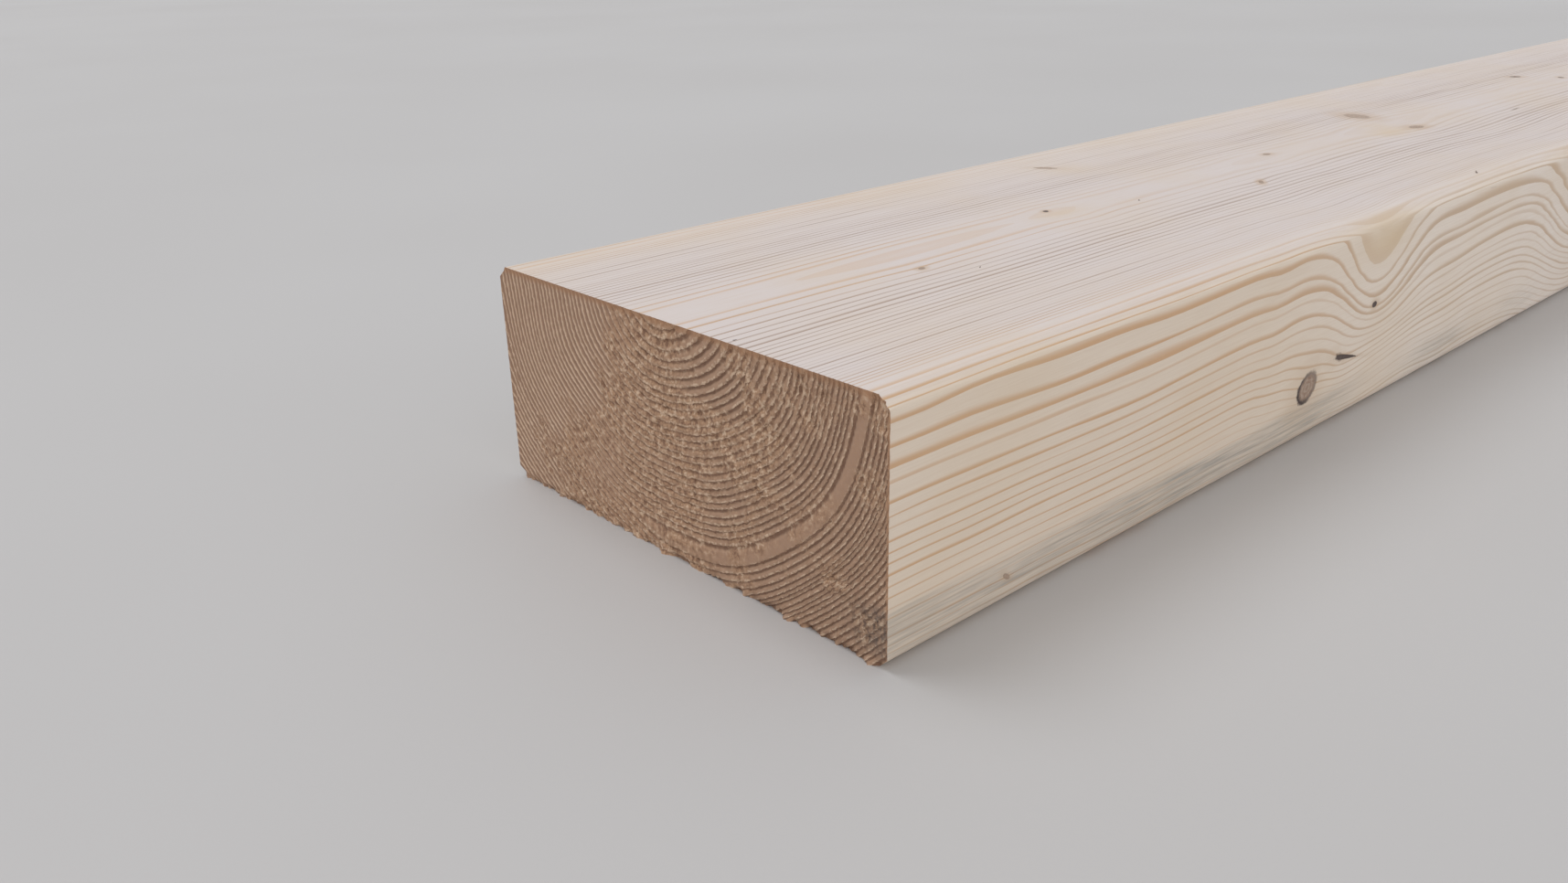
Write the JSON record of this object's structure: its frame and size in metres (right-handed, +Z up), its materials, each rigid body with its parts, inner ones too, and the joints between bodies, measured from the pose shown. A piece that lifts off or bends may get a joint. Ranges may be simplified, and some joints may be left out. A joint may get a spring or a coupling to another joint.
{
  "type": "timber plank",
  "caption": "Straight planed softwood timber of rectangular section, with chamfered long edges and square, rough-sawn ends.",
  "frame": {"origin": "middle of the wide face that the plank lies on", "axes": "+X along the grain and the length, +Y across the width, +Z up through the thickness; the end that the picture shows is at -X and the long edge face that it shows is at -Y"},
  "size_m": [2.5, 0.14, 0.06],
  "materials": {
    "planed_softwood": "planed, unfinished; rough-sawn on the end grain"
  },
  "bodies": {
    "root": {"timber_plank": "planed_softwood"}
  },
  "joints": []
}
